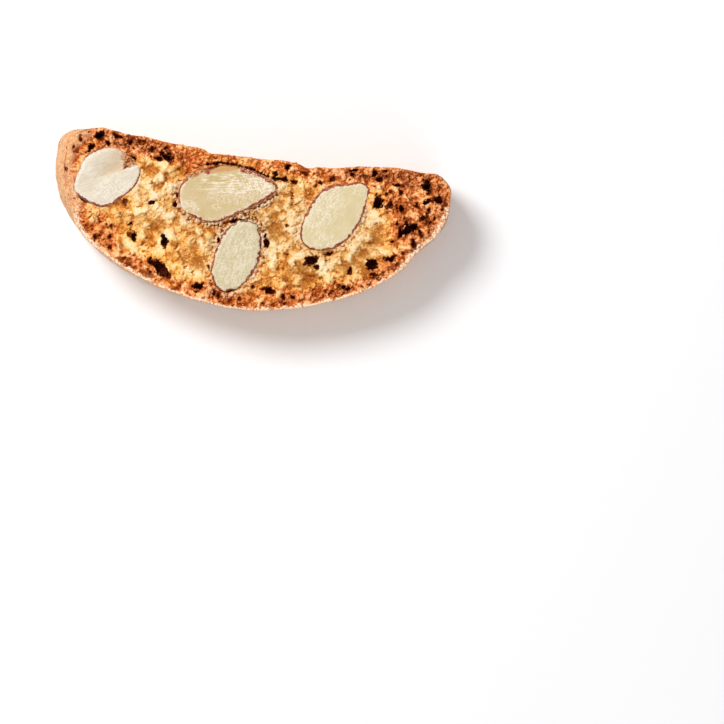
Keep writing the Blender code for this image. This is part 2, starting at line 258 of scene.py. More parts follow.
class CrumbLook(bpy.types.PropertyGroup):
    """Sizes and colours of the baked dough."""

    mesh_step: length_property("Mesh step", "Size of the faces on the crust", 0.53 * MM)
    clump_size: length_property("Clump size", "How far apart the crumb's clumps stand", 2.7 * MM)
    lump_size: length_property("Lump size", "How far apart the crumb's lumps stand", 1.5 * MM)
    relief: length_property("Relief", "Height of the clumps over the hollows", 1.25 * MM)
    bubble_depth: length_property("Bubble depth", "Depth of the largest cut bubbles", 0.9 * MM)
    overhang: length_property("Overhang", "How far the cut stands out over the dome", 0.12 * MM)
    grain_count: IntProperty(
        name="Grains", description="Number of loose grains of crumb", default=170, min=0
    )
    # Each crumb shade runs from its hollows to its tops by the relief. The hollow and low colours
    # are painted shade in the hollows, and the top colours are painted light on the tops.
    cream_top: colour_property("Cream, tops", "Tops of the pale crumb", 249, 226, 186)
    cream: colour_property("Cream", "The pale crumb", 244, 204, 142)
    cream_low: colour_property("Cream, low", "Low parts of the pale crumb", 228, 172, 98)
    cream_hollow: colour_property("Cream, hollows", "Its hollows", 170, 98, 28)
    gold_top: colour_property("Golden, tops", "Tops of the golden crumb", 253, 226, 172)
    gold: colour_property("Golden", "The golden crumb", 252, 196, 110)
    gold_low: colour_property("Golden, low", "Low parts of the golden crumb", 236, 162, 76)
    gold_hollow: colour_property("Golden, hollows", "Its hollows", 170, 90, 22)
    toast_top: colour_property("Toast, tops", "Tops of the browned crumb", 255, 216, 158)
    toast: colour_property("Toast", "The browned crumb", 250, 172, 104)
    toast_low: colour_property("Toast, low", "Low parts of the browned crumb", 224, 122, 52)
    toast_hollow: colour_property("Toast, hollows", "Its hollows", 150, 62, 16)
    baked_top: colour_property("Baked, tops", "Tops of the brownest crumb", 255, 192, 138)
    baked: colour_property("Baked", "The brownest crumb", 240, 156, 92)
    baked_low: colour_property("Baked, low", "Low parts of the brownest crumb", 196, 106, 50)
    baked_hollow: colour_property("Baked, hollows", "Its hollows", 108, 44, 14)
    crust_base: colour_property("Crust, base", "The brown base of the log", 190, 118, 66)
    # The hole colours are painted shade: the edge colour darkens the crumb round the holes, and the
    # hole colour darkens their deep insides.
    hole_edge: colour_property("Hole, edge", "The brown lip of the holes", 140, 64, 20)
    hole: colour_property("Hole", "The dark inside of the holes", 88, 32, 10)
    crust_light: colour_property("Crust, light", "Pale specks of the crust", 255, 220, 180)
    crust: colour_property("Crust", "The crust", 226, 172, 120)
    crust_dark: colour_property("Crust, dark", "Baked patches of the crust", 204, 130, 76)
    # The rim colour is partly painted light: it makes the upper band of the dome's wall pale. On the
    # cut, it dots the pale edge of the crust's skin.
    rim: colour_property("Rim", "The pale upper edge of the crust", 255, 228, 196)
    chalk: colour_property("Chalk", "Pale crumb that clings round the almonds", 236, 212, 184)
    stain: colour_property("Stain", "Tints crumb that an almond has stained", 198, 180, 142)


class AlmondLook(bpy.types.PropertyGroup):
    """Sizes and colours of the cut almonds."""

    mesh_step: length_property("Mesh step", "Size of the faces on the almonds", 0.24 * MM)
    grow: length_property("Growth", "How far the almonds fill their pockets' gap", 0.36 * MM)
    skin_colour: colour_property("Skin", "The almonds' red-brown skin", 174, 88, 60)
    skin_dark: colour_property("Skin, dark", "Its darker stretches", 120, 52, 42)
    skin_crumb: colour_property("Skin, crumb", "Crumb stuck to thick skin", 222, 170, 136)
    # The lip colour also paints shade over the left almond's upper half near its notch.
    lip_colour: colour_property("Lip", "The smooth strip of the long almond", 198, 152, 94)
    crumb_low: colour_property("Notch, low", "Crumb in the left almond's notch", 110, 50, 18)
    crumb_top: colour_property("Notch, tops", "Its lumps", 222, 152, 94)


class StageLook(bpy.types.PropertyGroup):
    """Floor, lights and camera."""

    floor_colour: colour_property("Floor", "The pale floor", 245, 245, 246)
    key_power: FloatProperty(
        name="Key light", description="Power of the soft key light", default=2.65, unit="POWER"
    )
    sky: FloatProperty(name="Sky", description="Strength of the white surroundings", default=0.5)


class Value:
    """A number that a material's nodes work out; sums on it add Math nodes."""

    def __init__(self, shader, socket):
        self.shader = shader
        self.socket = socket

    def sum_of(self, operation, first, second=0.0):
        return self.shader.add(
            "ShaderNodeMath", {"operation": operation}, {0: first, 1: second}
        )

    def __add__(self, other):
        return self.sum_of("ADD", self, other)

    __radd__ = __add__

    def __sub__(self, other):
        return self.sum_of("SUBTRACT", self, other)

    def __rsub__(self, other):
        return self.sum_of("SUBTRACT", other, self)

    def __mul__(self, other):
        return self.sum_of("MULTIPLY", self, other)

    __rmul__ = __mul__

    def between(self, low, high):
        """0 below low and 1 above high, or the other way round where low is the greater."""
        ends = {"From Min": low, "From Max": high, "To Min": 0.0, "To Max": 1.0}
        if low > high:
            ends = {"From Min": high, "From Max": low, "To Min": 1.0, "To Max": 0.0}
        settings = {"interpolation_type": "SMOOTHSTEP"}
        return self.shader.add("ShaderNodeMapRange", settings, {"Value": self, **ends})


class Shader:
    """A material and its nodes."""

    def __init__(self, name, **constants):
        self.material = bpy.data.materials.new(name)
        self.material.use_nodes = True
        self.tree = self.material.node_tree
        self.surface = self.tree.nodes["Principled BSDF"]
        for socket, value in constants.items():
            self.surface.inputs[socket.replace("_", " ")].default_value = value
        self.place = self.add("ShaderNodeTexCoord", output="Object")

    def add(self, kind, settings=None, inputs=None, output=0):
        """A node of this kind: its settings first, then its sockets' values or links."""
        node = self.tree.nodes.new(kind)
        for name, value in (settings or {}).items():
            if name == "stops":
                self.set_stops(node.color_ramp, value)
            else:
                setattr(node, name, value)
        for name, value in (inputs or {}).items():
            self.feed(value, node.inputs[name])
        return Value(self, node.outputs[output])

    def set_stops(self, ramp, stops):
        while len(ramp.elements) < len(stops):
            ramp.elements.new(1.0)
        for element, (place, colour) in zip(ramp.elements, stops):
            element.position = place
            element.color = colour

    def feed(self, value, socket):
        if isinstance(value, Value):
            self.tree.links.new(value.socket, socket)
        else:
            socket.default_value = value

    def attribute(self, name):
        settings = {"attribute_name": name, "attribute_type": "GEOMETRY"}
        return self.add("ShaderNodeAttribute", settings, output="Fac")

    def clouds(self, size, detail=3.0, roughness=0.55, stretch=(1.0, 1.0, 1.0), turn=0.0):
        """Noise from 0 to 1 whose blots are about size across, in metres."""
        where = self.place
        if stretch != (1.0, 1.0, 1.0) or turn:
            sockets = {"Rotation": (0.0, 0.0, turn), "Scale": stretch, "Vector": where}
            where = self.add("ShaderNodeMapping", {"vector_type": "TEXTURE"}, sockets)
        sockets = {"Scale": 1 / size, "Detail": detail, "Roughness": roughness, "Vector": where}
        return self.add("ShaderNodeTexNoise", None, sockets)

    def ramp(self, value, *stops):
        """Colours at places from 0 to 1, blended between them."""
        return self.add("ShaderNodeValToRGB", {"stops": stops}, {"Fac": value})

    def mix(self, share, first, second, blend="MIX"):
        settings = {"data_type": "RGBA", "blend_type": blend}
        return self.add("ShaderNodeMix", settings, {0: share, 6: first, 7: second}, 2)

    def bump(self, height, depth):
        """A normal from a height that runs from 0 to 1, depth in metres."""
        return self.add("ShaderNodeBump", None, {"Height": height, "Distance": depth})

    def finish(self, **links):
        for socket, value in links.items():
            self.feed(value, self.surface.inputs[socket.replace("_", " ")])
        return self.material


def smooth(low, high, value):
    """0 below low, 1 above high, and a smooth step between."""
    share = min(1.0, max(0.0, (value - low) / (high - low)))
    return share * share * (3 - 2 * share)


def noise_at(x, y, size, seed):
    """Noise from about -1 to 1 whose blots are about size across."""
    return noise.noise(Vector((x / size, y / size, seed)))


def chunk_middle(x, y, size, seed):
    """The middle of the broken chunk that a point is in, where chunks are about size across."""
    middle = noise.voronoi(Vector((x / size, y / size, seed)))[1][0]
    return middle.x * size, middle.y * size


def chunk_height(x, y, size, seed):
    """Height, about -1 to 1, of broken chunks, each with its own level and tilt and a round top."""
    where = Vector((x / size, y / size, seed))
    apart, middles = noise.voronoi(where)
    level, tilt_x, tilt_y = noise.cell_vector(middles[0] * 31.0) * 2 - Vector((1.0, 1.0, 1.0))
    away = where - middles[0]
    crease = smooth(0.6, 0.0, apart[1] - apart[0])
    lean = 1.1 * (tilt_x * away.x + tilt_y * away.y)
    return 0.75 * level + lean - 1.2 * away.length_squared - 0.4 * crease + 0.2


def in_ellipse(x, y, shape):
    """Distance from an ellipse's middle, as a share of its radius that way."""
    cos, sin = math.cos(math.radians(shape[4])), math.sin(math.radians(shape[4]))
    dx, dy = x - shape[0], y - shape[1]
    along, across = dx * cos + dy * sin, dy * cos - dx * sin
    return math.hypot(along / shape[2], across / shape[3])


def to_scene(bm, name, material, replaces=None):
    """Makes a finished piece of a bmesh that is in place, in metres."""
    mesh = bpy.data.meshes.new(name)
    bm.to_mesh(mesh)
    bm.free()
    mesh.shade_smooth()
    mesh.materials.append(material)
    piece = bpy.data.objects.new(name, mesh)
    bpy.context.scene.collection.objects.link(piece)
    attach(piece, "root")
    if replaces:
        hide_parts(replaces)
    return piece


def even_copy(node, step, cutter=None):
    """A bmesh of a CAD node's shape, less a cutter's, remeshed in even faces of this size."""
    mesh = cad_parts[node].data.copy()
    bm = bmesh.new()
    bm.from_mesh(mesh)
    bmesh.ops.remove_doubles(bm, verts=bm.verts, dist=0.0005 * MM)
    bm.to_mesh(mesh)
    bm.free()
    blank = bpy.data.objects.new(node + "_blank", mesh)
    bpy.context.scene.collection.objects.link(blank)
    if cutter:
        cut = blank.modifiers.new("cut", "BOOLEAN")
        cut.operation = "DIFFERENCE"
        cut.object = cutter
    voxels = blank.modifiers.new("voxels", "REMESH")
    voxels.mode = "VOXEL"
    voxels.voxel_size = step
    graph = bpy.context.evaluated_depsgraph_get()
    made = bpy.data.meshes.new_from_object(blank.evaluated_get(graph))
    bpy.data.objects.remove(blank)
    bm = bmesh.new()
    bm.from_mesh(made)
    bpy.data.meshes.remove(made)
    bpy.data.meshes.remove(mesh)
    bm.normal_update()
    return bm


def prism(name, outline, low, high):
    """A cutter with straight sides round an outline in millimetres."""
    bm = bmesh.new()
    corners = [bm.verts.new((x * MM, y * MM, low * MM)) for x, y in outline]
    floor = bmesh.ops.contextual_create(bm, geom=corners)["faces"]
    made = bmesh.ops.extrude_face_region(bm, geom=floor)["geom"]
    raised = [v for v in made if isinstance(v, bmesh.types.BMVert)]
    bmesh.ops.translate(bm, verts=raised, vec=(0.0, 0.0, (high - low) * MM))
    bmesh.ops.recalc_face_normals(bm, faces=bm.faces)
    mesh = bpy.data.meshes.new(name)
    bm.to_mesh(mesh)
    bm.free()
    cutter = bpy.data.objects.new(name, mesh)
    bpy.context.scene.collection.objects.link(cutter)
    return cutter


def face_edges(bm, faces):
    """Groups of points along the edges of a set of faces, one group for each loop."""
    chosen = set(faces)
    border = [e for e in bm.edges if sum(f in chosen for f in e.link_faces) == 1]
    beside = {}
    for edge in border:
        for vert in edge.verts:
            beside.setdefault(vert, []).append(edge)
    groups, seen = [], set()
    for start in border:
        if start in seen:
            continue
        group, waiting = [], [start]
        seen.add(start)
        while waiting:
            edge = waiting.pop()
            a, b = (v.co / MM for v in edge.verts)
            group += [a, a.lerp(b, 0.25), a.lerp(b, 0.5), a.lerp(b, 0.75)]
            for vert in edge.verts:
                for other in beside[vert]:
                    if other not in seen:
                        seen.add(other)
                        waiting.append(other)
        groups.append(group)
    return groups


def tree_of(points):
    tree = kdtree.KDTree(max(1, len(points)))
    for i, p in enumerate(points):
        tree.insert((p.x, p.y, 0.0), i)
    tree.balance()
    return tree


def width_of(group):
    return max(p.x for p in group) - min(p.x for p in group)


def flat_distance(tree, x, y):
    return tree.find((x, y, 0.0))


class CutFace:
    """What a point on a cut face has near it: the slice's rim, its widest outline, the almonds."""

    def __init__(self, bm, sign):
        self.sign = sign  # 1 where it faces upwards, -1 downwards
        self.level = THICKNESS if sign > 0 else 0.0
        self.verts = []  # the dough's points on it
        flat = [
            f
            for f in bm.faces
            if f.normal.z * sign > 0.45
            and abs(f.calc_center_median().z / MM - self.level) < CUT_DEPTH
        ]
        groups = sorted(face_edges(bm, flat), key=width_of, reverse=True)
        self.rim = tree_of(groups[0])
        pockets = [g for g in groups[1:] if width_of(g) > 6.0]
        self.pockets = tree_of([p for g in pockets for p in g])
        places = (v.co / MM for v in bm.verts)
        belt = [p for p in places if 0.27 < p.z / THICKNESS < 0.6 and not self.inside(p.x, p.y)]
        self.widest = tree_of(belt)

    def rim_distance(self, x, y):
        """Distance from the rim, and the y of its nearest point."""
        point, _, distance = flat_distance(self.rim, x, y)
        return distance, point.y

    def inside(self, x, y):
        """Whether a point is within the rim, and so on the cut or in a hole in it."""
        point, _, distance = flat_distance(self.rim, x, y)
        inwards = (0.7 * point.x - point.x) * (x - point.x) + (3.0 - point.y) * (y - point.y)
        return inwards > 0 and distance > 0.05

    def almond_distance(self, x, y):
        return flat_distance(self.pockets, x, y)[2]


def left_end(x, y):
    """How far a point is into the obliquely cut end, where much crust shows, from 0 to 1."""
    return smooth(-31.5, -35.0, x) * smooth(-3.5, 1.5, y)


def widen_the_cut(bm, face, overhang):
    """Draws the dome side of the cut out to the crust's widest outline and just over it."""
    for vert in bm.verts:
        x, y, z = vert.co / MM
        rim_point, _, rim = flat_distance(face.rim, x, y)
        if z < 0.5 * THICKNESS or (rim_point.y > BASE_SIDE and rim_point.x < RIGHT_TIP):
            continue
        out = overhang
        if face.inside(x, y):
            near = flat_distance(face.widest, rim_point.x, rim_point.y)
            start, fade = rim_point, smooth(3.6, 0.0, rim)
        else:
            near = flat_distance(face.widest, x, y)
            start, fade = Vector((x, y, 0.0)), 1.0
            out *= smooth(0.5, 1.0, z / THICKNESS)
        away = near[0] - start
        reach = (near[2] + out) * fade * (1 - left_end(x, y))
        if away.length > 0.01:
            shift = away.normalized() * reach
            vert.co.x += shift.x * MM
            vert.co.y += shift.y * MM
    bm.normal_update()


def random_place(rng):
    return tuple(rng.uniform(-far, far) for far in SCATTER)


def scattered_bubbles(face, look, seed):
    """The bubbles that the knife cut open, as ellipses, largest first."""
    rng = random.Random(seed)
    deepest = look.bubble_depth / MM
    bubbles = []
    for count, low, high in ((7, 0.9, 1.3), (130, 0.45, 0.8), (520, 0.2, 0.4)):
        found = 0
        while found < count:
            x, y = random_place(rng)
            radius = rng.uniform(low, high)
            shape = (x, y, radius * rng.uniform(1.0, 1.6), radius * rng.uniform(0.7, 1.0))
            turn, depth = rng.uniform(0, 180), deepest * rng.uniform(0.6, 1.0) * radius**0.7 / 1.5
            rim, _ = face.rim_distance(x, y)
            if rim < 0.8 + 0.6 * radius or face.almond_distance(x, y) < 0.3 + 0.9 * radius:
                continue
            bubbles.append((*shape, turn, depth))
            found += 1
    return bubbles


class Crumb:
    """The broken relief of a cut face: bubbles cut open, and lumps between them."""

    def __init__(self, face, look, seed):
        self.look = look
        self.seed = seed
        self.bubbles = scattered_bubbles(face, look, seed)
        self.tree = tree_of([Vector(b[:2]) for b in self.bubbles])

    def at(self, x, y, brown):
        """Depth of the bubbles in millimetres, and height of the lumps from 0 to 1."""
        seed = self.seed
        wx = x + 0.5 * noise_at(x, y, 1.5, seed + 7.1) + 0.3 * noise_at(x, y, 0.5, seed + 8.1)
        wy = y + 0.5 * noise_at(x, y, 1.5, seed + 3.7) + 0.3 * noise_at(x, y, 0.5, seed + 4.7)
        depth = 0.0
        for _, i, _ in self.tree.find_range((wx, wy, 0.0), 3.1):
            bubble = self.bubbles[i]
            share = in_ellipse(wx, wy, bubble)
            if share < 1.0:
                depth = max(depth, bubble[5] * (1 - share * share))
        clump, lump = self.look.clump_size / MM, self.look.lump_size / MM
        heights = (
            noise_at(wx, wy, clump, seed),
            noise_at(wx, wy, lump, seed + 31.0),
            chunk_height(wx, wy, lump, seed + 17.0),
            chunk_height(wx, wy, 0.5 * lump, seed + 3.3),
            noise_at(x, y, 0.36, seed + 5.3),
        )
        pale = sum(share * height for share, height in zip(PALE_HEIGHTS, heights))
        baked = sum(share * height for share, height in zip(BROWN_HEIGHTS, heights))
        total = pale + (baked - pale) * smooth(0.25, 0.8, brown)
        return depth, 0.5 + 0.5 * math.tanh(1.3 * total + 0.27)


def browning(x, y, rim, base_side):
    """How brown the crumb is, from 0 to 1, before its relief is taken into account."""
    patch = noise_at(x, y, 3.4, 41.0) + 0.5 * noise_at(x, y, 1.4, 43.0)
    near, far = (1.6, 4.6) if base_side else (1.0, 3.6)
    found = USUAL_BROWNING + 0.5 * smooth(far, near, rim + 0.8 * patch)
    for sign, spots in ((1, BROWNED), (-1, PALE)):
        for spot in spots:
            share = in_ellipse(x, y, spot)
            if share < 1.8:
                found += sign * spot[5] * smooth(1.5, 0.45, share + 0.25 * patch)
    return min(1.5, max(0.0, found + 0.24 * patch))


def random_pits(face, seed, count):
    """Small holes, as ellipses, scattered over a cut face, on the upper one where it is brown."""
    rng = random.Random(seed)
    pits = []
    while len(pits) < count:
        x, y = random_place(rng)
        chance, radius = rng.random(), rng.uniform(0.13, 0.28) + 0.25 * rng.random() ** 4
        shape = (x, y, radius * rng.uniform(1.0, 1.9), radius, rng.uniform(0, 180))
        rim, rim_y = face.rim_distance(x, y)
        if rim < 0.6 or face.almond_distance(x, y) < 0.5 + radius:
            continue
        brown = browning(x, y, rim, rim_y > BASE_SIDE) if face.sign > 0 else 0.5
        if chance < 0.04 + 0.96 * brown**4:
            pits.append((*shape, rng.uniform(0.2, 0.9)))
    return pits


# How far the outlines of the holes stray from their ellipses, in millimetres.
RAGGED = 0.45


def dig(face, holes, marks, broken=False):
    """Pushes a cut face in at each hole and marks its inside.

    Where broken is set, crumb fills the parts of the solid's own holes that are outside the
    ragged outline.
    """
    sign, verts = face.sign, face.verts
    tree = tree_of([Vector((vert.co.x / MM, vert.co.y / MM)) for vert in verts])
    for hole in holes:
        x, y, half_length, half_width, _, depth = hole
        bit = min(0.5, 0.6 * half_length)
        reach = 1.5 * max(half_length, half_width) + 0.6
        for (px, py, _), i, _ in tree.find_range((x, y, 0.0), reach):
            vert = verts[i]
            mx, my = chunk_middle(px, py, bit, x)
            share = in_ellipse(0.3 * px + 0.7 * mx, 0.3 * py + 0.7 * my, hole)
            frayed = noise_at(px, py, 1.0, x) + 0.5 * noise_at(px, py, 0.4, y)
            within = (1 - share) * min(half_length, half_width) - RAGGED * frayed
            # Where the crumb is brown, a ring round each hole gets a lower relief mark, which paints
            # shade round the hole.
            beside = smooth(-0.45, 0.0, within) * min(1.0, vert[marks["brown"]]) ** 2
            vert[marks["relief"]] *= 1 - 0.35 * beside
            inside = smooth(-0.08, 0.12, within)
            if inside > 0:
                uneven = 1 + 0.3 * noise_at(px, py, 0.5, y)
                vert.co.z -= sign * depth * uneven * inside * MM
                # The pore mark grows with the hole's depth and paints its inside dark as painted
                # shade.
                pore = inside * min(1.0, 0.2 + 0.75 * depth)
                vert[marks["pore"]] = max(vert[marks["pore"]], pore)
            elif broken:
                crumb = face.level - sign * (0.35 + 0.3 * noise_at(px, py, 0.7, y))
                vert.co.z = sign * max(sign * vert.co.z, sign * crumb * MM)


def line_of_holes(points, half_width, depth):
    """Short overlapping holes along a line through the points."""
    holes = []
    for (ax, ay), (bx, by) in zip(points, points[1:]):
        length = math.hypot(bx - ax, by - ay)
        turn = math.degrees(math.atan2(by - ay, bx - ax))
        middle = ((ax + bx) / 2, (ay + by) / 2)
        holes.append((*middle, length * 0.7, half_width, turn, depth))
    return holes


def clinging(x, y):
    """How much pale crumb clings to the almond near a point, from 0 to 1."""
    if x > 8:
        return 0.6 * smooth(10.5, 7.0, y)
    if x < -19:
        return 0.15
    return smooth(9.0, 7.5, y) * (0.95 if y > -3 else 0.65)


def stained(x, y):
    """How much the crumb has taken the almonds' colour, from 0 to 1."""
    found = 0.0
    for spot in STAINED:
        share = in_ellipse(x, y, spot) + 0.4 * noise_at(x, y, 1.5, 12.0)
        found = max(found, spot[5] * smooth(1.2, 0.5, share))
    return found


class Spot:
    """A point of the dough: its place and what is near it, in millimetres."""

    def __init__(self, place, normal, faces):
        self.place = place
        self.x, self.y, z = place
        self.face = face = faces[0] if z > THICKNESS / 2 else faces[1]
        near_cut = abs(z - face.level) < CUT_REACH
        self.cut = smooth(0.2, 0.65, normal.z * face.sign) if near_cut else 0.0
        self.on_cut = near_cut and face.inside(self.x, self.y)
        self.rim, rim_y = face.rim_distance(self.x, self.y)
        self.base_side = rim_y > BASE_SIDE
        self.almond = face.almond_distance(self.x, self.y)
        self.on_crust = 0.0 if self.on_cut or self.almond < 1.2 else 1 - self.cut
        self.end = left_end(self.x, self.y) if face.sign > 0 else 0.0
        self.below = THICKNESS - z

    def skinned(self):
        """How far the crust's skin reaches over the cut here, from 0 to 1."""
        ragged = self.rim + 0.5 * noise_at(self.x, self.y, 1.3, 3.0)
        wavy = ragged + 0.3 * noise_at(self.x, self.y, 2.0, 2.0)
        found = self.end * smooth(2.8, 0.8, wavy)
        if self.base_side:
            return found
        band = 0.6 + 0.7 * smooth(-24.0, -36.0, self.x) + 0.5 * smooth(28.0, 36.0, self.x)
        return max(found, 0.85 * smooth(1.2 * band, 0.4 * band, ragged))


class BISCOTTI_OT_dough(bpy.types.Operator):
    """Makes the baked dough with its broken crumb and its crust"""

    bl_idname = "biscotti.dough"
    bl_label = "Dough"

    def execute(self, context):
        look = context.scene.biscotti_crumb
        bm = even_copy("biscuit", look.mesh_step)
        widen_the_cut(bm, CutFace(bm, 1), look.overhang / MM)
        edges = set()
        for face in bm.faces:
            high = face.calc_center_median().z / MM > THICKNESS - CUT_DEPTH
            if high and face.normal.z > 0.1:
                edges.update(face.edges)
        bmesh.ops.subdivide_edges(bm, edges=list(edges), cuts=2, use_grid_fill=True)
        bm.normal_update()
        upper, under = faces = CutFace(bm, 1), CutFace(bm, -1)
        crumbs = {upper: Crumb(upper, look, 1.5), under: Crumb(under, look, 61.5)}
        marks = {name: bm.verts.layers.float.new(name) for name in DOUGH_MARKS}
        normals = [vert.normal.copy() for vert in bm.verts]
        for vert, normal in zip(bm.verts, normals):
            spot = Spot(vert.co / MM, normal, faces)
            self.shape(vert, normal, spot, crumbs[spot.face], look.relief / MM, marks)
            if spot.on_cut and spot.rim > 0.3 and (spot.cut > 0.5 or spot.almond > 0.45):
                spot.face.verts.append(vert)
        self.dig_holes(upper, under, marks)
        bmesh.ops.triangulate(bm, faces=bm.faces)
        to_scene(bm, "dough", dough_material(look), "biscuit")
        return {"FINISHED"}

    def shape(self, vert, normal, spot, crumb, relief, marks):
        """Moves a point to where the crumb or the crust has it, and marks what it is."""
        x, y, place, end, on_crust = spot.x, spot.y, spot.place, spot.end, spot.on_crust
        brown = browning(x, y, spot.rim, spot.base_side)
        bubble, height = crumb.at(x, y, brown)
        chalk = clinging(x, y) * smooth(1.9, 0.8, spot.almond + 0.5 * noise_at(x, y, 1.1, 9.0))
        knob = 0.58 + 0.42 * chunk_height(x, y, 0.7, 6.0) + 0.6 * noise_at(x, y, 0.45, 8.0)
        height += (max(0.0, min(1.0, knob)) - height) * chalk
        inwards = smooth(0.0, 0.9, spot.rim)
        beside = smooth(0.0, 0.7, spot.almond)
        skinned = spot.skinned()
        drop = (1 - height) * relief * (0.3 + 0.7 * beside + 0.3 * chalk)
        drop = drop * (0.35 + 0.65 * inwards) + bubble * beside * inwards
        drop = drop * (1 - 0.72 * skinned) + 0.5 * end * smooth(1.8, 0.0, spot.rim) ** 2
        vert.co.z -= spot.face.sign * spot.cut * drop * MM
        wave = 0.16 * noise.noise(place / 2.6) + 0.07 * noise.noise(place / 0.9)
        top = smooth(2.4, 0.9, spot.below + 0.5 * noise.noise(place / 1.1)) * (1 - end)
        broken = 0.14 * noise.noise(place / 0.5) * top
        vert.co += normal * (wave * smooth(0.0, 2.5, spot.below) + broken) * on_crust * MM
        uneven = 0.5 + 0.9 * noise.noise(place / 0.8)
        height += (uneven - height) * on_crust
        over_cut = skinned * spot.cut * (0.5 + 0.5 * end)
        # The wall's pale band near the top is painted light. On the cut, the rim mark follows the
        # crust's skin.
        painted_light_near_top = smooth(4.5, 0.8, spot.below + noise.noise(place / 1.7))
        pale = 0.55 * skinned if spot.on_cut or spot.cut > 0.5 else 0.5 * painted_light_near_top
        vert[marks["brown"]] = brown + 0.5 * on_crust * spot.base_side * (1 - end)
        # The relief mark sets the crumb's painted shade and light: low points and cut bubbles come
        # out darker, and high points paler.
        vert[marks["relief"]] = max(0.0, min(1.0, height - 0.3 * bubble))
        vert[marks["crust"]] = max(on_crust * (1 - 0.8 * top), over_cut)
        vert[marks["rim"]] = 0.0 if spot.base_side else pale * (1 - 0.8 * end)
        vert[marks["chalk"]] = chalk * (1 - on_crust)
        vert[marks["stain"]] = stained(x, y) if spot.face.sign > 0 else 0.0

    def dig_holes(self, upper, under, marks):
        """Digs the holes of both cuts, and marks whatever lies deep in the solid as one."""
        dig(upper, HOLES_OF_THE_SOLID, marks, broken=True)
        holes = (
            *HOLES_ALONG_THE_BASE,
            *HOLES_AT_THE_RIGHT_END,
            *HOLES_IN_THE_MIDDLE,
            *HOLES_NEAR_THE_DOME,
            *line_of_holes(GAP_OVER_THE_LONG_ALMOND, 0.28, 0.9),
            *line_of_holes(GAP_BETWEEN_ALMONDS, 0.35, 1.2),
            *random_pits(upper, 5, 170),
        )
        dig(upper, holes, marks)
        dig(under, random_pits(under, 11, 240), marks)
        # Points deep below the cut are marked as pore too, which paints them dark as painted shade.
        pore = marks["pore"]
        for face in (upper, under):
            for vert in face.verts:
                depth = abs(vert.co.z / MM - face.level)
                vert[pore] = max(vert[pore], smooth(2.0, CUT_DEPTH, depth))


def crumb_ramp(shader, height, look, shade):
    """One shade of crumb, from its hollows to its tops."""
    # The darker hollow and low stops are painted shade, and the paler top stop is painted light.
    stops = ((0.0, "_hollow"), (0.28, "_low"), (0.55, ""), (0.95, "_top"))
    return shader.ramp(height, *((place, getattr(look, shade + part)) for place, part in stops))


def dough_material(look):
    """Crumb, crust and rim, told apart by the piece's attributes."""
    shader = Shader("baked_dough", Roughness=0.8, Specular_IOR_Level=0.12)
    relief, brown, pore, crust, rim, stain, chalk = (shader.attribute(m) for m in DOUGH_MARKS)
    specks = shader.clouds(0.42 * MM, 3.0, 0.6)
    blotches = shader.clouds(2.2 * MM, 3.0, 0.6)
    grain = shader.clouds(0.2 * MM, 2.0, 0.6)
    toasted = brown + (blotches - 0.5) * 0.3 + (specks - 0.5) * 0.15
    busy = brown * 0.7 + 0.42
    # The relief mark, with random speck and grain noise, picks each ramp's colour, so the hollows
    # get painted shade and the tops painted light.
    height = relief + ((specks - 0.5) * 1.1 + (grain - 0.5) * 0.8) * busy
    pale, golden, toast, baked = (crumb_ramp(shader, height, look, shade) for shade in CRUMB_SHADES)
    crumb = shader.mix(toasted.between(0.0, 0.42), pale, golden)
    crumb = shader.mix(toasted.between(0.42, 0.9), crumb, toast)
    crumb = shader.mix(toasted.between(0.95, 1.35), crumb, baked)
    crumb = shader.mix(stain, crumb, look.stain, "MULTIPLY")
    chalky = chalk * (height * 0.8 + specks * 0.5).between(0.4, 0.8)
    crumb = shader.mix(chalky, crumb, look.chalk)
    mottle = shader.clouds(1.1 * MM, 4.0, 0.65)
    skin = shader.mix(mottle.between(0.35, 0.6), look.crust_dark, look.crust)
    skin = shader.mix(toasted.between(1.0, 1.3), skin, look.crust_base)
    flecks = grain.between(0.48, 0.62) * (specks.between(0.35, 0.6) * 0.6 + 0.4)
    skin = shader.mix(flecks, skin, look.crust_light)
    skin = shader.mix(grain.between(0.47, 0.34) * 0.9, skin, look.crust_dark)
    colour = shader.mix(crust, crumb, skin)
    # The rim colour is painted light on the upper wall, and pale dots of the crust's skin on the
    # cut.
    colour = shader.mix((rim * 1.3 + (specks - 0.5) * 2.2).between(0.3, 0.75), colour, look.rim)
    # Painted shade in the holes: the pore mark darkens their edges and, deeper down, their insides.
    colour = shader.mix(pore.between(0.1, 0.5), colour, look.hole_edge)
    depth = pore + (blotches - 0.5) * 0.35
    colour = shader.mix(depth.between(0.45, 0.9), colour, look.hole)
    bumpy = shader.bump(specks + grain * 0.4, 0.22 * MM)
    return shader.finish(Base_Color=colour, Normal=bumpy)


